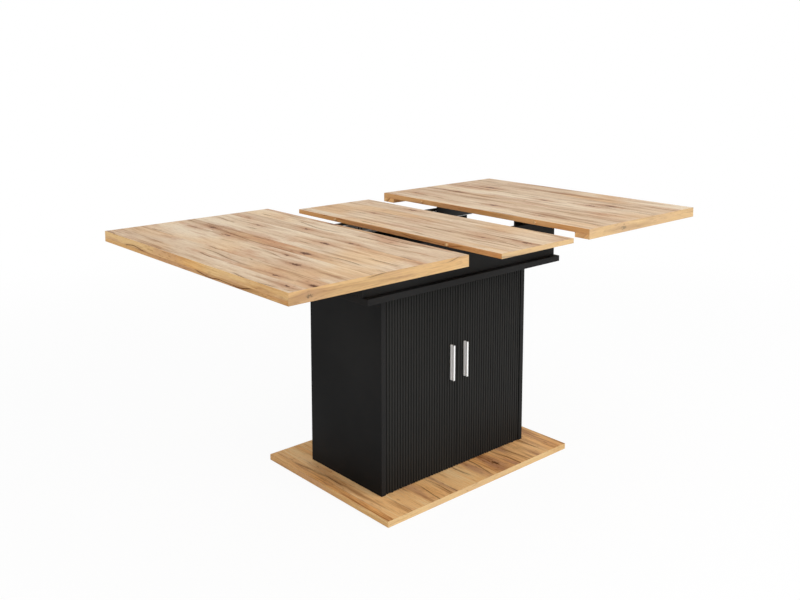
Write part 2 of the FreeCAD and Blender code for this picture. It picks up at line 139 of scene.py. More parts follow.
class TableFinishSettings(bpy.types.PropertyGroup):
    """Colours of the other materials."""

    black_board: colour("Black board", "Matt black melamine", tint(16, 16, 16))
    # Painted light: the lighter colour of what faces front and back on the same melamine, for the lamp in front.
    black_lit_face: colour("Black edge", "Faces of the black boards to the front and back", tint(37, 37, 37))
    black_front: colour("Black front", "Matt black foil of the doors", tint(44, 44, 43))
    chrome: colour("Chrome", "Satin chrome", (0.94, 0.94, 0.94))
    zinc: colour("Zinc", "Zinc-plated sheet", (0.86, 0.86, 0.87))
    steel: colour("Steel", "Screws and pins", (0.52, 0.52, 0.53))
    black_plastic: colour("Black plastic", "Moulded black plastic", tint(34, 34, 35))
    black_steel: colour("Black steel", "Black powder coat", tint(30, 30, 30))
    beech: colour("Beech", "Beech dowels", tint(214, 171, 118))


class TableShapeSettings(bpy.types.PropertyGroup):
    """Sizes of the pieces that are modelled here."""

    rib_count: IntProperty(name="Ribs", description="Ribs on each door", default=27, min=1, max=80)
    rib_share: number("Rib share", "Share of the pitch that is rib", 0.52, min=0.2, max=0.9)
    rib_height: length("Rib height", "Height of the ribs above the grooves", 0.003)
    rib_round: length("Rib round", "Rounding of the ribs' front edges", 0.0011)
    handle_foot: length("Handle foot", "Depth of the handle's foot", 0.006)
    handle_lip: length("Handle lip", "Depth of the handle's lip", 0.0035)
    handle_groove: length("Handle groove", "Depth of the handle's grooves", 0.0017)
    handle_round: length("Handle round", "Rounding of the handle's edges", 0.0005)
    sheet: length("Sheet", "Thickness of the slides' sheet", 0.0012)
    slide_lip: length("Slide lip", "Height of the slides' rolled lips", 0.002)
    slide_round: length("Slide round", "Rounding of the slides' bends", 0.0005)
    slot_long: length("Slot length", "Length of the slides' fixing slots", 0.009)
    slot_short: length("Slot width", "Width of the slides' fixing slots", 0.0045)
    cage_length: length("Cage length", "Length of a ball cage", 0.1)
    ball_size: length("Ball size", "Diameter of the balls", 0.0031)
    ball_count: IntProperty(name="Balls", description="Balls in each row of a cage", default=9, min=2, max=40)
    bracket_sheet: length("Bracket sheet", "Thickness of the brackets", 0.002)
    dowel_size: length("Dowel size", "Diameter of the dowels between the leaf and the halves", 0.008)
    dowel_reach: length("Dowel reach", "Length of a dowel outside its board", 0.008)
    dowel_spread: length("Dowel spread", "Distance between the two dowels of an edge", 0.5)


class TableStageSettings(bpy.types.PropertyGroup):
    """Camera, lamps and floor."""

    lens: number("Lens", "Focal length in millimetres", 42.045, min=10, max=200)
    turn: number("Turn", "Camera turned from +Y towards +X", math.radians(41.716), subtype="ANGLE")
    tilt: number("Tilt", "Camera tilted below the level", math.radians(7.67), subtype="ANGLE")
    place: FloatVectorProperty(name="Camera", description="Place of the camera", subtype="TRANSLATION", size=3,
                               default=(-1.9284, -2.0694, 1.2886))
    shift: number("Shift", "Upward shift of the lens, as a share of the width", -0.16)
    floor_colour: colour("Floor", "Floor and backdrop", (0.94, 0.94, 0.94))
    floor_glow: number("Floor glow", "How far the floor near the table looks plain white", 0.93, min=0, max=1)
    key_power: number("Key lamp", "Power of the lamp in front", 80.0, unit="POWER")
    side_power: number("Side lamp", "Power of the lamp beside", 20.0, unit="POWER")
    top_power: number("Top lamp", "Power of the lamp above", 9.0, unit="POWER")
    sky: number("Sky", "Strength of the light from all round", 0.64, min=0)


# ------ shader graph
def forward(operation):
    """A method that puts a Math node on a signal, and on another value where the operation takes two."""
    return lambda self, *other: self.math(operation, self, *other)


def both_ways(operation):
    """The same for an operator between two values, and its reflected form."""
    return forward(operation), lambda self, other: self.math(operation, other, self)


class Signal:
    """A socket that adds Math nodes where it is used in an expression."""

    def __init__(self, graph, socket):
        self.graph, self.socket = graph, socket

    def math(self, operation, *operands):
        return self.graph.node("ShaderNodeMath", {"operation": operation}, dict(enumerate(operands)))

    __add__, __radd__ = both_ways("ADD")
    __sub__, __rsub__ = both_ways("SUBTRACT")
    __mul__, __rmul__ = both_ways("MULTIPLY")
    __truediv__, __rtruediv__ = both_ways("DIVIDE")

    __abs__, above, larger = forward("ABSOLUTE"), forward("GREATER_THAN"), forward("MAXIMUM")
    root, floor, fraction, sine = forward("SQRT"), forward("FLOOR"), forward("FRACT"), forward("SINE")

    def bell(self, width):
        """1 at zero, falling smoothly to 0 over about twice the width."""
        scaled = self / width
        return self.math("EXPONENT", scaled * scaled * -1)

    def rise(self, low, high):
        """0 below low, 1 above high, smooth between. It falls instead where low is the larger."""
        settings = {"interpolation_type": "SMOOTHSTEP"}
        return self.graph.node("ShaderNodeMapRange", settings, {"Value": self, "From Min": low, "From Max": high})


class Graph:
    """The nodes of one material, or of a world."""

    def __init__(self, name, kind="Material"):
        self.kind = kind
        self.owner = (bpy.data.worlds if kind == "World" else bpy.data.materials).new(name)
        self.owner.use_nodes = True
        self.tree = self.owner.node_tree
        self.tree.nodes.clear()

    def node(self, kind, settings=None, sockets=None, out=0):
        """Adds a node, its settings first, then the values or links of its sockets.

        out names the output that is wanted, or is a tuple for several.
        """
        made = self.tree.nodes.new(kind)
        for key, value in (settings or {}).items():
            if key == "stops":
                self.set_stops(made.color_ramp, value)
            else:
                setattr(made, key, value)
        for key, value in (sockets or {}).items():
            if isinstance(value, Signal):
                self.tree.links.new(value.socket, made.inputs[key])
            else:
                made.inputs[key].default_value = value
        if isinstance(out, tuple):
            return tuple(Signal(self, made.outputs[one]) for one in out)
        return Signal(self, made.outputs[out]) if made.outputs else made

    @staticmethod
    def set_stops(ramp, stops):
        while len(ramp.elements) < len(stops):
            ramp.elements.new(1.0)
        for element, (place, shade) in zip(ramp.elements, stops):
            element.position = place
            element.color = (*shade[:3], 1.0)

    def place(self):
        """The three coordinates of the point on the object."""
        return self.split(self.node("ShaderNodeTexCoord", out="Object"))

    def facing(self, axis):
        """How far the surface faces along an axis of the object."""
        return self.split(self.node("ShaderNodeTexCoord", out="Normal"))[axis]

    def seen(self):
        """1 for what the camera sees, also in a mirror or through glass, and 0 for what gives light alone."""
        camera, glossy, through = self.node("ShaderNodeLightPath", out=("Is Camera Ray", "Is Glossy Ray",
                                                                         "Is Transmission Ray"))
        return camera.larger(glossy.larger(through))

    def split(self, vector):
        return self.node("ShaderNodeSeparateXYZ", None, {0: vector}, out=(0, 1, 2))

    def join(self, x, y, z):
        return self.node("ShaderNodeCombineXYZ", None, {0: x, 1: y, 2: z})

    def noise(self, x, y, z, detail=2.0, roughness=0.5):
        sockets = {"Vector": self.join(x, y, z), "Scale": 1.0, "Detail": detail, "Roughness": roughness}
        return self.node("ShaderNodeTexNoise", None, sockets)

    def grain(self, *rates, detail=2.0, roughness=0.5, seed=0.0):
        """Noise with so many waves per metre of the object, one number for X, Y and Z or one for each."""
        x, y, z = (place * rate for place, rate in zip(self.place(), rates * 3))
        return self.noise(x, y, z + seed, detail, roughness)

    def lot(self, whole, seed, out):
        """A random value or colour for each whole number."""
        return self.node("ShaderNodeTexWhiteNoise", {"noise_dimensions": "2D"},
                         {"Vector": self.join(whole, seed, 0)}, out=out)

    def mix(self, factor, first, second, blend="MIX"):
        settings = {"data_type": "RGBA", "blend_type": blend}
        first, second = [v if isinstance(v, Signal) else (*v[:3], 1.0) for v in (first, second)]
        return self.node("ShaderNodeMix", settings, {0: factor, 6: first, 7: second}, out=2)

    def bump(self, height, strength, distance=0.0001):
        return self.node("ShaderNodeBump", None, {"Height": height, "Strength": strength, "Distance": distance})

    def surface(self, **sockets):
        """Ends the graph in one Principled shader, its sockets named with underscores for spaces."""
        named = {key.replace("_", " "): value for key, value in sockets.items()}
        return self.output(self.node("ShaderNodeBsdfPrincipled", None, named))

    def output(self, shader):
        self.node("ShaderNodeOutput" + self.kind, None, {"Surface": shader})
        return self.owner


# ------ finishes
# The oak's figure, layer by layer: waves per metre across the grain and along it, seed, and noise settings.
OAK_LAYERS = {
    "slow": (9, 1.3, 3),
    "lively": (11, 2.1, 6),
    "streaks": (62, 2.6, 5, 4.0, 0.6),
    "fine": (190, 7, 7, 3.0, 0.6),
    "fibres": (540, 15, 9),
    "patch": (17, 3.2, 12, 4.0, 0.65),
    "golden": (3.1, 2.3, 52),
    "brown": (34, 2.4, 14, 5.0, 0.65),
    "flecks": (210, 34, 21),
    "pores": (1200, 60, 23, 0.0),
}
KNOT_RATE = (8.5, 3.8)  # cells per metre, across the grain and along it, that may hold a knot
BAND_STEP = (0.31, 2.7)  # moves the pattern of the bands along X away from that of the bands along Y


def cracks(g, u, v, per_metre, width, seed, drift):
    """Open cracks along the grain, one to a lane, and the stain round them. They come and go along their lanes."""
    bend = g.noise(u * 3, v * 2.0, seed, detail=3.0, roughness=0.4) - 0.5
    lane = u * per_metre + bend * drift
    own = g.lot(lane.floor(), seed, "Value")
    away = abs(lane.fraction() - own * 0.6 - 0.2) / per_metre
    strength = g.noise(lane.floor() * 7.3, v * 2.4 + own * 9, seed + 1).rise(0.47, 0.6)
    ragged = g.noise(u * 40, v * 55, seed + 2) * 1.2 + 0.4
    crack = (away / (strength * width * ragged + 0.00005)).rise(1.0, 0.5)
    return crack * strength, away.bell(width * 5) * strength


def knots(g, u, v, seed, least):
    """The knots' hearts, the halos round them, their dark tails and how far the grain swerves beside them.

    least is the chance, from 0 to 1, that a cell stays without a knot.
    """
    distance, cell, centre = g.node(
        "ShaderNodeTexVoronoi", {"voronoi_dimensions": "2D"},
        {"Vector": g.join(u * KNOT_RATE[0], v * KNOT_RATE[1], 0), "Scale": 1.0},
        out=("Distance", "Color", "Position"))
    chance, size = g.node("ShaderNodeSeparateColor", None, {0: cell}, out=(0, 1))
    there = chance.above(least)
    centre = g.split(centre)
    beside = u - centre[0] / KNOT_RATE[0]
    ahead = v - centre[1] / KNOT_RATE[1]
    tatter = g.noise(u * 160, v * 90, seed + 2, detail=3.0, roughness=0.7) - 0.5
    reach = (beside * beside + ahead * ahead * 0.14).root() + tatter * 0.022
    heart = (reach / (size * size * 0.0065 + 0.004)).rise(1.1, 0.35) * there
    halo = (reach / (size * 0.014 + 0.014)).bell(1.0) * there
    sway = g.noise(v * 9, size * 7, seed + 4, detail=3.0) - 0.5
    tail = (beside + sway * 0.022).bell(0.0055) * ahead.bell(0.15) * there
    return heart, halo, tail, beside * distance.bell(0.15) * there * 0.6


def dowel_holes(board):
    """Where the two dowels of a board's edge towards -X meet it."""
    low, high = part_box(board)
    spread = bpy.context.scene.table_shape.dowel_spread / 2
    middle = (low + high) / 2
    return [Vector((low.x, middle.y + way * spread, middle.z)) for way in (-1, 1)]


def oak(name, part="", grain="Y", seed=0.0, figure=1.0, front_light=0.0, bounce_light=0.0, bored=""):
    """Rustic oak laminate: planks, streaks, cracks and knots, with the grain along X or Y.

    part picks the colours. A figure of 1 or more has all the knots and winding cracks, and a smaller one is calmer.
    front_light and bounce_light are shares of painted light: a lighter cream on the bands along X, which face front and
    back, and a warm orange for light bounced onto the bands along Y. bored names the board whose dowel holes show as
    painted bores, dark for the shade inside them, in what faces +X.
    """
    look = bpy.context.scene.table_oak
    pale, middle, dark = (getattr(look, part + tone) for tone in ("pale", "middle", "dark"))
    calm = min(figure, 1.0)
    g = Graph(name)
    x, y, z = g.place()
    if part == "edge_":
        # front marks what faces front and back. It turns the grain of those bands, and it also carries the painted
        # light further down.
        front = abs(g.facing(Y)).above(0.5)
        across, along = z + front * BAND_STEP[0], y + front * (x - y + BAND_STEP[1])
    elif grain == "Y":
        across, along = x + z, y
    else:
        across, along = y + z, x

    row = across / look.plank_width + (across * 31 + seed).sine() * 0.28
    slide, shade, warmth = g.node("ShaderNodeSeparateColor", None, {0: g.lot(row.floor(), seed, "Color")},
                                  out=(0, 1, 2))
    wander = g.noise(across * 4, along * 0.8, seed) - 0.5
    ripple = g.noise(across * 13, along * 5, seed + 1) - 0.5
    u = across + slide * 5 + wander * 0.03 + ripple * 0.006
    v = along + shade * 7
    heart, halo, tail, swerve = knots(g, u, v, seed, 0.4 if figure >= 1 else 0.85)
    u = u - swerve
    layer = {key: g.noise(u * wide, v * long, seed + start, *settings)
             for key, (wide, long, start, *settings) in OAK_LAYERS.items()}

    lively = layer["lively"].rise(0.4, 0.62) * 0.8 + 0.45
    fine = layer["fine"] - 0.5
    fibres = layer["fibres"] - 0.5
    tone = ((layer["slow"] - 0.5) * 1.3 + (layer["streaks"] - 0.5) * lively * 1.2 + fine * 0.9 + fibres * 0.5
            + (shade - 0.5) * 0.3 * figure + 0.56)
    wood = g.node("ShaderNodeValToRGB", {"stops": ((0.08, dark), (0.44, middle), (0.55, middle), (0.82, pale))},
                  {0: tone})
    patch = layer["patch"].rise(0.49, 0.66)
    wood = g.mix(patch * (warmth * 0.5 + 0.3) * figure, wood, look.rose)
    wood = g.mix(layer["golden"].rise(0.46, 0.66) * 0.5, wood, look.gold, "MULTIPLY")

    drift = 0.7 if figure >= 1 else 0.15
    long_crack, long_stain = cracks(g, u, v, 7, 0.0014, seed + 15, drift)
    short_crack, short_stain = cracks(g, u, v * 2.3, 12, 0.0011, seed + 18, drift)
    crack = long_crack.larger(short_crack) * calm
    flecks = layer["flecks"].rise(0.6, 0.7) * (patch * 0.6 + halo + 0.25)
    pores = layer["pores"].rise(0.62, 0.74)
    seam = row.fraction().rise(0.012, 0.0) * figure
    for share, shade_over in ((layer["brown"].rise(0.54, 0.68) * 0.5 * figure, dark), (halo * 0.7, look.rose),
                              (tail * 0.5, dark), ((long_stain * 0.5 + short_stain * 0.35) * calm, dark),
                              (crack, look.crack), (flecks * 0.85, dark), (heart * 0.95, look.knot),
                              (seam * 0.35, look.crack), (pores * 0.16, look.crack)):
        wood = g.mix(share, wood, shade_over)
    if part == "edge_":
        # Painted light: cream lightens what faces front and back, for the lamp in front, and orange warms the other
        # faces for light bounced between the boards.
        wood = g.mix(front * front_light, wood, look.edge_front_light_colour)
        wood = g.mix((1 - front) * bounce_light, wood, look.edge_bounce_light_colour)
    # Painted shade: the dowel holes are dark discs in the colour, standing in for the holes and the shade inside them.
    if bored:
        mouth = g.facing(X).above(0.5)
        radius = bpy.context.scene.table_shape.dowel_size / 2
        for hole in dowel_holes(bored):
            aside, up = y - hole.y, z - hole.z
            away = (aside * aside + up * up) / radius ** 2
            wood = g.mix(away.rise(1.15, 0.95) * mouth, wood, look.bore)

    height = fibres * 0.5 + fine * 0.4 - crack * 0.8 - pores * 0.5 - heart * 0.3
    return g.surface(Base_Color=wood, Roughness=fine * 0.3 + crack * 0.3 + 0.42, Specular_IOR_Level=0.02,
                     Normal=g.bump(height, 0.14, 0.0004))


def black_board(name, shade, lit_face_shade, seed=0.0, roughness=0.46):
    """Matt black melamine: a fine pebbled skin with slow changes of tone, and painted light: what faces front and back
    is lighter.
    """
    g = Graph(name)
    # Painted light: what faces front and back gets the lighter colour, standing in for the lamp in front.
    front = abs(g.facing(Y)).above(0.5)
    cloud = g.grain(3, detail=3.0, seed=seed)
    pebble = g.grain(1400, roughness=0.6)
    dust = g.grain(260, detail=3.0, seed=seed).rise(0.62, 0.8)
    skin = g.mix(cloud.rise(0.3, 0.7) * 0.35 + dust * 0.12, g.mix(front, shade, lit_face_shade),
                 toned(lit_face_shade, 1.35, 0.001))
    return g.surface(Base_Color=skin, Roughness=cloud * 0.1 + pebble * 0.08 + roughness, IOR=1.45,
                     Specular_IOR_Level=0.07, Normal=g.bump(pebble, 0.16, 0.00012))


def chrome(name, shade):
    """Satin chrome with faint wiping marks."""
    g = Graph(name)
    wipe = g.grain(60, 60, 9, detail=3.0)
    spots = g.grain(900, detail=1.0).rise(0.68, 0.8)
    return g.surface(Base_Color=g.mix(spots * 0.15, shade, (0.6, 0.6, 0.62)), Metallic=0.12,
                     Roughness=wipe * 0.05 + spots * 0.1 + 0.14, Normal=g.bump(wipe, 0.02, 0.0002))


def zinc_sheet(name, shade, seed=0.0):
    """Zinc-plated rolled sheet: a soft mottle under fine lines along X."""
    g = Graph(name)
    x, y, z = g.place()
    cell = g.node("ShaderNodeTexVoronoi", None, {"Vector": g.join(x * 160, y * 160, z * 160 + seed), "Scale": 1.0},
                  out="Color")
    mottle = g.node("ShaderNodeSeparateColor", None, {0: cell})
    lines = g.grain(12, 2200, 2200)
    worn = g.grain(25, 60, 60, detail=3.0, seed=seed).rise(0.5, 0.75)
    return g.surface(Base_Color=g.mix(mottle * 0.3 + worn * 0.3, shade, toned(shade, 0.72)), Metallic=0.3,
                     Roughness=mottle * 0.1 + lines * 0.14 + 0.22, Normal=g.bump(lines, 0.12))


def powder_coat(name, shade):
    """Black powder coat: an orange-peel skin with a low gloss."""
    g = Graph(name)
    cloud = g.grain(30)
    return g.surface(Base_Color=g.mix(cloud * 0.4, shade, toned(shade, 1.4, 0.001)), Roughness=cloud * 0.15 + 0.36,
                     Specular_IOR_Level=0.3, Normal=g.bump(g.grain(750, detail=1.0), 0.25))


def turned_steel(name, shade):
    """Plated steel of screws and pins, with fine grime."""
    g = Graph(name)
    grime = g.grain(420, detail=3.0)
    return g.surface(Base_Color=g.mix(grime.rise(0.45, 0.75) * 0.5, shade, toned(shade, 0.5)), Metallic=1.0,
                     Roughness=grime * 0.25 + 0.2, Normal=g.bump(grime, 0.1))


def beech(name, shade):
    """Turned beech: a fine straight grain along X, with short darker flecks."""
    g = Graph(name)
    grain = g.grain(60, 1300, 1300, detail=3.0)
    flecks = g.grain(350, 2600, 2600, detail=1.0).rise(0.6, 0.72)
    return g.surface(Base_Color=g.mix(grain.rise(0.3, 0.7) * 0.35 + flecks * 0.3, shade, toned(shade, 0.65)),
                     Roughness=grain * 0.2 + 0.45, Specular_IOR_Level=0.3, Normal=g.bump(grain, 0.2))


def moulded(name, shade):
    """Moulded plastic with a fine spark-eroded skin."""
    g = Graph(name)
    skin = g.grain(1800)
    return g.surface(Base_Color=g.mix(g.grain(40) * 0.3, shade, toned(shade, 1.3, 0.004)),
                     Roughness=skin * 0.15 + 0.4, Specular_IOR_Level=0.35, Normal=g.bump(skin, 0.2))


def white_stage(name, shade, glow):
    """A pale floor that looks white to the camera and in reflections, and still takes a soft shadow."""
    g = Graph(name)
    x, y, _ = g.place()
    face = g.mix(g.grain(3, 3, 0, detail=3.0) * 0.05, shade, toned(shade, 0.97))
    matt = g.node("ShaderNodeBsdfDiffuse", None, {"Color": face})
    light = g.node("ShaderNodeEmission", None, {"Color": WHITE, "Strength": 1.0})
    far = (x * x + y * y).rise(2.0, 12.0)
    return g.output(g.node("ShaderNodeMixShader", None, {0: g.seen() * (far * (1 - glow) + glow), 1: matt, 2: light}))


# ------ modelling by hand
def mode(name):
    bpy.ops.object.mode_set(mode=name)


def deselect():
    if bpy.context.object and bpy.context.object.mode != "OBJECT":
        mode("OBJECT")
    bpy.ops.object.select_all(action="DESELECT")


def activate(*pieces):
    """Selects these pieces alone, with the first one active."""
    deselect()
    for piece in pieces:
        piece.select_set(True)
    bpy.context.view_layer.objects.active = pieces[0]


def started(name):
    """Names the primitive that was just added and brings its place into its mesh."""
    piece = bpy.context.object
    piece.name = piece.data.name = name
    bpy.ops.object.transform_apply(location=True, rotation=True, scale=True)
    return piece


def block(name, corner, opposite):
    """A box between two opposite corners."""
    deselect()
    low, high = (Vector([pick(pair) for pair in zip(corner, opposite)]) for pick in (min, max))
    bpy.ops.mesh.primitive_cube_add(size=1, location=(low + high) / 2, scale=high - low)
    return started(name)


def disc(name, radius, depth, sides=32, top=0.0):
    """A cylinder about the Z axis, from top downwards."""
    deselect()
    bpy.ops.mesh.primitive_cylinder_add(vertices=sides, radius=radius, depth=depth, location=(0, 0, top - depth / 2))
    return started(name)


# Tests of a face's or an edge's middle and way, for what follows.
def facing(axis, sign, share=MOSTLY):
    return lambda middle, way: way[axis] * sign > share


def running(axis):
    return lambda middle, way: abs(way[axis]) > PARALLEL


def at_top(middle, way):
    return middle.z > -SAME


@contextmanager
def chosen(piece, kind, test):
    """Edit mode on the active piece, with the faces or edges selected whose middle and way pass the test."""
    mode("EDIT")
    bpy.ops.mesh.select_mode(type=kind)
    bpy.ops.mesh.select_all(action="DESELECT")
    mode("OBJECT")
    mesh = piece.data
    if kind == "FACE":
        for face in mesh.polygons:
            face.select = test(face.center, face.normal)
    else:
        for edge in mesh.edges:
            start, end = (mesh.vertices[i].co for i in edge.vertices)
            edge.select = test((start + end) / 2, (end - start).normalized())
    mode("EDIT")
    yield
    mode("OBJECT")


def extrude(*move):
    bpy.ops.mesh.extrude_region_move(TRANSFORM_OT_translate={"value": move})


def narrow(share, level):
    """Draws what is selected together about the Z axis."""
    bpy.ops.transform.resize(value=(share, share, 1), center_override=(0, 0, level))


def cut(piece, axis, *places):
    """Scores the whole mesh across an axis at each place."""
    mode("EDIT")
    for place in places:
        point, normal = Vector(), Vector()
        point[axis], normal[axis] = place, 1
        bpy.ops.mesh.select_all(action="SELECT")
        bpy.ops.mesh.bisect(plane_co=point, plane_no=normal)
    mode("OBJECT")


def pull(piece, test, *move):
    """Extrudes the faces that pass the test."""
    with chosen(piece, "FACE", test):
        extrude(*move)


def round_edges(piece, test, size, segments=4):
    with chosen(piece, "EDGE", test):
        bpy.ops.mesh.bevel(offset=size, segments=segments, affect="EDGES", clamp_overlap=True)


def modify(piece, kind, **settings):
    """Adds a modifier to a piece and applies it."""
    activate(piece)
    modifier = piece.modifiers.new("Shape", kind)
    for key, value in settings.items():
        setattr(modifier, key, value)
    bpy.ops.object.modifier_apply(modifier=modifier.name)


def ease(piece, size, segments=2, sharp=60):
    """Rounds every edge that turns by more than so many degrees."""
    modify(piece, "BEVEL", width=size, segments=segments, limit_method="ANGLE", angle_limit=math.radians(sharp))


def carve(piece, cutter):
    """Cuts a shape out of a piece."""
    modify(piece, "BOOLEAN", operation="DIFFERENCE", object=cutter, solver="EXACT")
    discard(cutter)


def discard(piece):
    bpy.data.meshes.remove(piece.data)


def merge(name, *pieces):
    activate(*pieces)
    if len(pieces) > 1:
        bpy.ops.object.join()
    pieces[0].name = pieces[0].data.name = name
    return pieces[0]


def copies(name, pattern, places):
    """Joins one copy of the pattern for each place. The pattern hangs down from the origin."""
    made = []
    for point, way, _ in places:
        copy = pattern.copy()
        copy.data = pattern.data.copy()
        bpy.context.scene.collection.objects.link(copy)
        turn = Vector((0, 0, -1)).rotation_difference(way).to_matrix().to_4x4()
        copy.data.transform(Matrix.Translation(point) @ turn)
        made.append(copy)
    return merge(name, *made)


def finish_piece(piece, material, node, replaced=True):
    """Smooths and paints a piece and seats it on the body of a node, which it replaces or is added to."""
    activate(piece)
    bpy.ops.object.shade_smooth_by_angle(angle=math.radians(35))
    piece.data.materials.clear()
    piece.data.materials.append(material)
    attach(piece, NODES[node]["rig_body"])
    if replaced:
        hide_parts(node)


def paint(material, *nodes):
    for node in nodes:
        mesh = NODES[node].data
        mesh.materials.clear()
        mesh.materials.append(material)


def islands(node):
    """The points of each solid of a node."""
    mesh = NODES[node].data
    found = []
    for face in mesh.polygons:
        corners = {mesh.vertices[i].co.copy().freeze() for i in face.vertices}
        joined = [points for points in found if points & corners]
        found = [points for points in found if not points & corners] + [corners.union(*joined)]
    return found


def stations(node):
    """Where each round solid of a node stands: the middle of its wide end, the way that it points and its length."""
    found = []
    for points in islands(node):
        low, high = (Vector([pick(p[i] for p in points) for i in range(3)]) for pick in (min, max))
        axis = min(range(3), key=lambda i: len({round(p[i], 5) for p in points}))
        middle = (low + high) / 2

        def reach(level):
            ring = [p for p in points if abs(p[axis] - level) < SAME]
            return max(math.dist([p[i] for i in range(3) if i != axis],
                                 [middle[i] for i in range(3) if i != axis]) for p in ring)

        levels = sorted({round(p[axis], 5) for p in points})
        widest = max(levels, key=reach)
        near = abs(widest - levels[0]) <= abs(levels[-1] - widest)
        top, way = middle.copy(), Vector()
        top[axis], way[axis] = (levels[0], 1) if near else (levels[-1], -1)
        found.append((top, way, levels[-1] - levels[0]))
    return sorted(found, key=lambda s: tuple(round(v, 4) for v in s[0]))


# ------ operators
class TableStep:
    """What the operators share"""

    bl_options = {"REGISTER", "UNDO"}


class TABLE_OT_oak(TableStep, bpy.types.Operator):
    """Gives the oak boards and their edge bands their laminate"""

    bl_idname = "table.oak"
    bl_label = "Oak boards"

    def execute(self, context):
        # Painted sheen: the top takes the paler colours that stand in for its sheen and light.
        paint(oak("oak top"), "left_top_board", "right_top_board", "loose_leaf")
        paint(oak("oak base", "base_", seed=4.2, figure=1.2), "base_plate")
        # Each board's edge bands get their own shares of painted light: front light and bounced light.
        for board, front_light, bounce_light, bored in (("left", 0.25, 0.0, "left_top_board"), ("right", 0.4, 0.4, ""),
                                            ("leaf", 0.4, 0.4, "loose_leaf")):
            paint(oak(f"oak {board} edge band", "edge_", seed=1.7, front_light=front_light, bounce_light=bounce_light, bored=bored),
                  board + "_edge_bands")
        paint(oak("oak base edge band", "edge_", seed=6.1, figure=0.8, front_light=0.2), "base_edge_bands")
        paint(oak("oak batten along X", "base_", grain="X", seed=2.9, figure=0.8),
              *[f"{side}_{edge}_batten" for side in SIDES for edge in EDGES])
        paint(oak("oak batten along Y", "base_", seed=3.3, figure=0.8), *[side + "_end_batten" for side in SIDES])
        return {"FINISHED"}


class TABLE_OT_black_boards(TableStep, bpy.types.Operator):
    """Gives the cupboard, the carrier plate and the aprons their black melamine"""

    bl_idname = "table.black_boards"
    bl_label = "Black boards"

    def execute(self, context):
        finish = context.scene.table_finish
        for order, node in enumerate(("left_side_panel", "right_side_panel", "back_panel", "shelf",
                                      "carrier_plate", "front_apron", "rear_apron")):
            paint(black_board("black melamine " + node.replace("_", " "), finish.black_board, finish.black_lit_face,
                              seed=order * 3.7), node)
        return {"FINISHED"}


class TABLE_OT_doors(TableStep, bpy.types.Operator):
    """Models the two ribbed doors"""

    bl_idname = "table.doors"
    bl_label = "Ribbed doors"

    def execute(self, context):
        shape = context.scene.table_shape
        shade = context.scene.table_finish.black_front
        for order, side in enumerate(SIDES):
            node = side + "_door_panel"
            low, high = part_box(node)
            door = block(side + "_ribbed_door", (low.x, low.y + shape.rib_height, low.z), high)
            pitch = (high.x - low.x) / shape.rib_count
            half = pitch * shape.rib_share / 2
            middles = [low.x + pitch * (i + 0.5) for i in range(shape.rib_count)]
            cut(door, X, *[x + end * half for x in middles for end in (-1, 1)])
            pull(door, lambda c, n: n.y < -MOSTLY and min(abs(c.x - x) for x in middles) < half / 2,
                 0, -shape.rib_height, 0)
            round_edges(door, lambda m, d: abs(d.z) > PARALLEL and m.y < low.y + SAME, shape.rib_round, 3)
            ease(door, 0.0004)
            finish_piece(door, black_board(f"black foil {side}", shade, shade, seed=order * 5.3, roughness=0.42),
                         node)
        return {"FINISHED"}


class TABLE_OT_handles(TableStep, bpy.types.Operator):
    """Models the two bar handles"""

    bl_idname = "table.handles"
    bl_label = "Handles"

    def execute(self, context):
        shape = context.scene.table_shape
        metal = chrome("polished chrome", context.scene.table_finish.chrome)
        groove = shape.handle_groove
        for side in SIDES:
            node = side + "_door_handle"
            low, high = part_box(node)
            neck = Vector((groove, 0, 0))
            bar = block(side + "_bar_handle", low + neck, high - neck)
            back, front = high.y - shape.handle_foot, low.y + shape.handle_lip
            cut(bar, Y, back, front)
            for hand in (-1, 1):
                pull(bar, lambda c, n: n.x * hand > MOSTLY and not front < c.y < back, hand * groove, 0, 0)
            ease(bar, shape.handle_round, 3, 40)
            finish_piece(bar, metal, node)
        return {"FINISHED"}


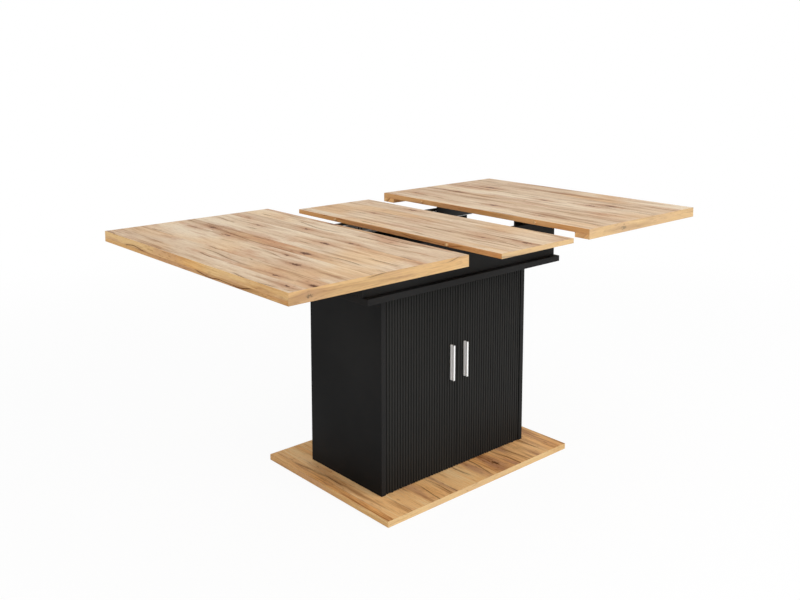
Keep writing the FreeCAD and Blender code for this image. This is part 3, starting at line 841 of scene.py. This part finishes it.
class TABLE_OT_slides(TableStep, bpy.types.Operator):
    """Models the members of the telescopic slides, and their ball cages"""

    bl_idname = "table.slides"
    bl_label = "Telescopic slides"

    # How far along an outer member its fixing slots lie, clear of its screws.
    UPRIGHT_SLOTS = (0.064, 0.078, 0.092, 0.208, 0.222, 0.236)
    LYING_SLOTS = (0.114, 0.15, 0.186)
    SLOT_ROUND = 0.0022
    CAGE_GAP = 0.006  # between a cage and the end of the middle member
    CAGE_HALF = Vector((0, 0.0024, 0.00035))  # half the width and thickness of a cage

    def execute(self, context):
        shape = context.scene.table_shape
        zinc = context.scene.table_finish.zinc
        sheet = zinc_sheet("zinc slide", zinc)
        dull = zinc_sheet("zinc ball cage", toned(zinc, 0.8), 3.0)
        for side, way in SIDES.items():
            for edge, hand in EDGES.items():
                name = f"{side}_{edge}"
                for kind in ("outer", "middle", "inner"):
                    node = f"{name}_slide_{kind}"
                    mouth, lip = (hand, 0) if kind == "inner" else (-hand, shape.slide_lip)
                    piece = self.channel(f"{name}_{kind}_member", node, mouth, lip, shape)
                    if kind == "outer":
                        self.punch(piece, *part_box(node), shape)
                    finish_piece(piece, sheet, node)
                self.cages(name, way, dull, shape)
        return {"FINISHED"}

    def channel(self, name, node, mouth, lip, shape):
        """A rolled channel: its web stands upright, and its flanges reach along Y towards the mouth."""
        low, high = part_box(node)
        sheet = shape.sheet
        web_y = low.y if mouth > 0 else high.y
        piece = block(name, (low.x, web_y, low.z), (high.x, web_y + mouth * sheet, high.z))
        upper, lower = high.z - sheet, low.z + sheet
        cut(piece, Z, upper, lower)
        depth = high.y - low.y

        def at_flange(centre, normal):
            return normal.y * mouth > MOSTLY and not lower <= centre.z <= upper

        pull(piece, at_flange, 0, mouth * (depth - 2 * sheet if lip else depth - sheet), 0)
        if lip:
            pull(piece, at_flange, 0, mouth * sheet, 0)
            lip_y = (high.y if mouth > 0 else low.y) - mouth * sheet
            for way, level in ((-1, upper), (1, lower)):
                pull(piece, lambda c, n: n.z * way > MOSTLY and (c.y - lip_y) * mouth > 0 and abs(c.z - level) < SAME,
                     0, 0, way * lip)
        ease(piece, shape.slide_round, 2, 40)
        return piece

    def punch(self, piece, low, high, shape):
        """Punches the fixing slots of an outer member."""
        level = (low.z + high.z) / 2
        for offset in sorted(self.UPRIGHT_SLOTS + self.LYING_SLOTS):
            wide, tall = shape.slot_short, shape.slot_long
            if offset in self.LYING_SLOTS:
                wide, tall = tall, wide
            reach = Vector((wide / 2, 0.001, tall / 2))
            slot = block("slot", Vector((low.x + offset, low.y, level)) - reach,
                         Vector((low.x + offset, high.y, level)) + reach)
            round_edges(slot, running(Y), self.SLOT_ROUND, 5)
            carve(piece, slot)

    def cages(self, name, way, material, shape):
        """Rows of balls in their cages, above and below the middle and the inner member."""
        boxes = [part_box(f"{name}_slide_{kind}") for kind in ("outer", "middle", "inner")]
        near, far = (corner.x for corner in boxes[1][::way])
        centre_z = (boxes[0][0].z + boxes[0][1].z) / 2
        run = Vector((way * shape.cage_length, 0, 0))
        rows = []
        for (_, around), (low, high), start in zip(boxes, boxes[1:], (
                near + way * self.CAGE_GAP, far - way * (self.CAGE_GAP + shape.cage_length))):
            offset = (around.z - shape.sheet + high.z) / 2 - centre_z
            for up in (-1, 1):
                end = Vector((start, (low.y + high.y) / 2, centre_z + up * offset))
                rows.append(block("strip", end - self.CAGE_HALF, end + run + self.CAGE_HALF))
                for i in range(shape.ball_count):
                    deselect()
                    bpy.ops.mesh.primitive_ico_sphere_add(subdivisions=2, radius=shape.ball_size / 2,
                                                          location=end + run * ((i + 0.5) / shape.ball_count))
                    rows.append(started("ball"))
        finish_piece(merge(name + "_ball_cages", *rows), material, name + "_slide_middle", False)


class TABLE_OT_brackets(TableStep, bpy.types.Operator):
    """Models the angle brackets between the slides and the top halves"""

    bl_idname = "table.brackets"
    bl_label = "Angle brackets"

    def execute(self, context):
        thickness = context.scene.table_shape.bracket_sheet
        material = powder_coat("black bracket", context.scene.table_finish.black_steel)
        for side in SIDES:
            for edge, hand in EDGES.items():
                node = f"{side}_{edge}_slide_bracket"
                low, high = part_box(node)
                wall = high.y if hand > 0 else low.y
                inner, under = wall - hand * thickness, high.z - thickness
                piece = block(f"{side}_{edge}_bracket", (low.x, wall, low.z), (high.x, inner, high.z))
                cut(piece, Z, under)
                pull(piece, lambda c, n: n.y * hand < -MOSTLY and c.z > under,
                     0, -hand * (high.y - low.y - thickness), 0)
                for y, z, share in ((wall, high.z, 0.9), (inner, under, 0.6)):
                    round_edges(piece, lambda m, d: abs(d.x) > PARALLEL and abs(m.y - y) < SAME
                                and abs(m.z - z) < SAME, thickness * share)
                ease(piece, 0.0003)
                finish_piece(piece, material, node)
        return {"FINISHED"}


class TABLE_OT_screws(TableStep, bpy.types.Operator):
    """Models the countersunk and pan-head screws with their cross recesses"""

    bl_idname = "table.screws"
    bl_label = "Screws"

    # Radius of the head, its height and the shank's radius, of the screws of each kind.
    BOARD = (0.0048, 0.003, 0.0025)
    SHEET = (0.0035, 0.0014, 0.0018)
    HANDLE = (0.003, 0.002, 0.0015)
    HEAD_SIDES = 24
    TIP = 0.35  # width of the point, as a share of the shank
    TAPER = 0.6  # width of the recess at its floor, as a share of its mouth

    def execute(self, context):
        material = turned_steel("plated screw", context.scene.table_finish.steel)
        for name, kind, size in (("base", "cross", self.BOARD), ("carrier", "cross", self.BOARD),
                                 ("apron", "cross", self.BOARD), ("slide", "cross", self.SHEET),
                                 ("left_handle", "cross", self.HANDLE), ("right_handle", "cross", self.HANDLE),
                                 ("left_bracket", "pan", self.SHEET), ("right_bracket", "pan", self.SHEET)):
            self.place(name + "_screws", f"{name}_{kind}_screws", size, size is self.BOARD, material)
        return {"FINISHED"}

    def place(self, node, name, size, sunk, material):
        """Models a node's screws where they stand and as long as they are."""
        groups = {}
        for station in stations(node):
            groups.setdefault(round(station[2], 4), []).append(station)
        pieces = []
        for whole in sorted(groups):
            pattern = self.screw(whole, *size, sunk)
            pieces.append(copies("group", pattern, groups[whole]))
            discard(pattern)
        finish_piece(merge(name, *pieces), material, node)

    def screw(self, whole, head, height, shank, sunk):
        """One screw hanging from the origin, with a cross recess in its head."""
        piece = disc("screw", head, height, self.HEAD_SIDES)
        if not sunk:
            round_edges(piece, at_top, height * 0.7)
        with chosen(piece, "FACE", facing(Z, -1)):
            if sunk:
                narrow(shank / head, -height)
            else:
                bpy.ops.mesh.inset(thickness=head - shank)
            extrude(0, 0, height - whole + shank)
            extrude(0, 0, -shank)
            narrow(self.TIP, -whole)
        reach, width, depth = head * 0.6, head * 0.13, height * 0.6
        for wide, deep in ((reach, width), (width, reach)):
            slot = block("slot", (-wide, -deep, -depth), (wide, deep, 0.001))
            with chosen(slot, "FACE", facing(Z, -1)):
                narrow(self.TAPER, -depth)
            carve(piece, slot)
        return piece


class TABLE_OT_dowels(TableStep, bpy.types.Operator):
    """Models the beech dowels that line the leaf up with the halves"""

    bl_idname = "table.dowels"
    bl_label = "Dowels"

    FACETS = 32  # every second one is sunk as a flute
    BITE = 0.001  # how deep a dowel sits in its edge band
    ROUND = 0.0012
    FLUTE = 0.0003

    def execute(self, context):
        shape = context.scene.table_shape
        material = beech("beech dowel", context.scene.table_finish.beech)
        dowel = disc("dowel", shape.dowel_size / 2, shape.dowel_reach + self.BITE, self.FACETS)
        round_edges(dowel, at_top, self.ROUND)
        with chosen(dowel, "FACE", lambda c, n: abs(n.z) < 0.01
                    and math.floor(math.atan2(c.y, c.x) / math.tau * self.FACETS) % 2 == 0):
            bpy.ops.mesh.inset(thickness=0.0001, depth=-self.FLUTE, use_individual=True)
        for name, board in (("right", "right_top_board"), ("leaf", "loose_leaf")):
            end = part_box(name + "_edge_bands")[0].x - shape.dowel_reach
            places = [(Vector((end, hole.y, hole.z)), Vector((1, 0, 0)), 0) for hole in dowel_holes(board)]
            finish_piece(copies(name + "_alignment_dowels", dowel, places), material, board, False)
        discard(dowel)
        return {"FINISHED"}


class TABLE_OT_small_parts(TableStep, bpy.types.Operator):
    """Models the glides, shelf pins, door pivots, bushes and magnetic catches"""

    bl_idname = "table.small_parts"
    bl_label = "Small parts"

    def execute(self, context):
        finish = context.scene.table_finish
        steel = turned_steel("bright pin", finish.steel)
        black = moulded("black glide plastic", finish.black_plastic)
        self.spread(self.glide(), "round_glides", black, "black_plastic", "floor_glides")
        self.spread(self.pin("shelf_pins"), "round_shelf_pins", steel, "screw_steel", "shelf_pins")
        for side in SIDES:
            node = side + "_pivot_pins"
            self.spread(self.pin(node), side + "_door_pivots", steel, "screw_steel", node)
        self.spread(self.bush(), "flanged_bushes", black, "black_plastic", "pivot_bushes")
        self.catches(black, steel)
        return {"FINISHED"}

    def spread(self, pattern, name, material, slot, node):
        """Copies the pattern to where the node's solids stand."""
        piece = copies(name, pattern, stations(node))
        discard(pattern)
        finish_piece(piece, material, node)

    def glide(self):
        """A flat glide with a dish round the head of its nail."""
        radius, height, rim, dish, rounding = 0.015, 0.002, 0.0095, 0.0008, 0.0012
        nail_radius, nail_length, nail_sides = 0.001, 0.012, 12
        glide = disc("glide", radius, height, ROUND_SIDES)
        round_edges(glide, at_top, rounding)
        with chosen(glide, "FACE", facing(Z, 1, FLAT)):
            bpy.ops.mesh.inset(thickness=rim)
            extrude(0, 0, -dish)
        return merge("glide", glide, disc("nail", nail_radius, nail_length, nail_sides, -height))

    def pin(self, node):
        radius, rounding = 0.0025, 0.0004
        pin = disc("pin", radius, stations(node)[0][2])
        ease(pin, rounding, 3)
        return pin

    def bush(self):
        """A flanged bush, turned from a disc: the sleeve is pulled down and the bore is bridged through."""
        flange, sleeve, bore, rim = 0.0075, 0.005, 0.00255, 0.0004
        flange_height, sleeve_length = 0.0012, 0.008
        bush = disc("bush", flange, flange_height, ROUND_SIDES)
        round_edges(bush, at_top, rim, 3)
        with chosen(bush, "FACE", facing(Z, -1)):
            bpy.ops.mesh.inset(thickness=flange - sleeve)
            extrude(0, 0, -sleeve_length)
            bpy.ops.mesh.inset(thickness=sleeve - bore)
        with chosen(bush, "FACE", facing(Z, 1, FLAT)):
            bpy.ops.mesh.inset(thickness=flange - rim - bore)
        with chosen(bush, "FACE", lambda c, n: abs(n.z) > FLAT and c.xy.length < SAME):
            bpy.ops.mesh.bridge_edge_loops()
        return bush

    def catches(self, material, steel):
        low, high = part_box("catch_housings")
        width, corner = 0.046, 0.002
        housings = []
        for x in (low.x, high.x - width):
            housing = block("housing", (x, low.y, low.z), (x + width, high.y, high.z))
            round_edges(housing, running(Z), corner)
            ease(housing, 0.0005)
            housings.append(housing)
        finish_piece(merge("magnet_housings", *housings), material, "catch_housings")
        paint(steel, "catch_poles")
        for side in SIDES:
            node = side + "_strike_plate"
            plate = block(side + "_magnet_plate", *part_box(node))
            round_edges(plate, running(Y), corner, 5)
            ease(plate, 0.0002)
            finish_piece(plate, steel, node)


class TABLE_OT_stage(TableStep, bpy.types.Operator):
    """Sets up the floor, the lamps, the world and the camera"""

    bl_idname = "table.stage"
    bl_label = "Stage"

    # Each lamp's place, what it points at and its width.
    LAMPS = {
        "key": ((0.9, -3.6, 2.4), (0, 0, 0.45), 2.6),
        "side": ((-4.0, -0.6, 2.0), (0, 0, 0.45), 2.4),
        "top": ((0.2, -0.3, 3.6), (0, 0, 0.6), 3.0),
    }
    FLOOR_SIZE = 60

    def execute(self, context):
        scene = context.scene
        stage = scene.table_stage
        deselect()
        bpy.ops.mesh.primitive_plane_add(size=self.FLOOR_SIZE)
        floor = started("floor")
        floor.data.materials.append(white_stage("white floor", stage.floor_colour, stage.floor_glow))

        for name, (place, aim, size) in self.LAMPS.items():
            lamp = bpy.data.lights.new(name + " lamp", "AREA")
            lamp.shape = "SQUARE"
            lamp.size = size
            lamp.energy = getattr(stage, name + "_power")
            self.add(lamp, place, (Vector(aim) - Vector(place)).to_track_quat("-Z", "Y").to_euler())

        g = Graph("studio", "World")
        level = g.node("ShaderNodeMix", None, {0: g.seen(), 2: stage.sky, 3: 1.0})
        scene.world = g.output(g.node("ShaderNodeBackground", None, {"Color": WHITE, "Strength": level}))
        scene.view_settings.view_transform = "Standard"

        camera = bpy.data.cameras.new("camera")
        camera.lens = stage.lens
        camera.sensor_fit = "HORIZONTAL"
        camera.shift_y = stage.shift
        camera.clip_end = 200
        scene.camera = self.add(camera, stage.place, (math.pi / 2 - stage.tilt, 0, -stage.turn))
        return {"FINISHED"}

    def add(self, data, place, turn):
        """Adds a lamp or a camera to the scene."""
        thing = bpy.data.objects.new(data.name, data)
        bpy.context.scene.collection.objects.link(thing)
        thing.location = place
        thing.rotation_euler = turn
        return thing


OPERATORS = (TABLE_OT_oak, TABLE_OT_black_boards, TABLE_OT_doors, TABLE_OT_handles, TABLE_OT_slides,
             TABLE_OT_brackets, TABLE_OT_screws, TABLE_OT_dowels, TABLE_OT_small_parts, TABLE_OT_stage)
GROUPS = {"table_oak": TableOakSettings, "table_finish": TableFinishSettings, "table_shape": TableShapeSettings,
          "table_stage": TableStageSettings}


class TABLE_PT_panel(bpy.types.Panel):
    """Lists the table's settings and steps"""

    bl_idname = "TABLE_PT_panel"
    bl_label = "Kitchen table"
    bl_space_type = "VIEW_3D"
    bl_region_type = "UI"
    bl_category = "Table"

    def draw(self, context):
        for step in OPERATORS:
            self.layout.operator(step.bl_idname)
        for key in GROUPS:
            group = getattr(context.scene, key)
            column = self.layout.box().column()
            for name in group.bl_rna.properties.keys():
                if name not in ("rna_type", "name"):
                    column.prop(group, name)


CLASSES = (*GROUPS.values(), *OPERATORS, TABLE_PT_panel)


def register():
    for cls in CLASSES:
        bpy.utils.register_class(cls)
    for name, group in GROUPS.items():
        setattr(bpy.types.Scene, name, PointerProperty(type=group))


def unregister():
    for name in GROUPS:
        delattr(bpy.types.Scene, name)
    for cls in reversed(CLASSES):
        bpy.utils.unregister_class(cls)


def main():
    register()
    deselect()
    for step in OPERATORS:
        getattr(bpy.ops.table, step.bl_idname.split(".")[1])()


if __name__ == "__main__":
    main()
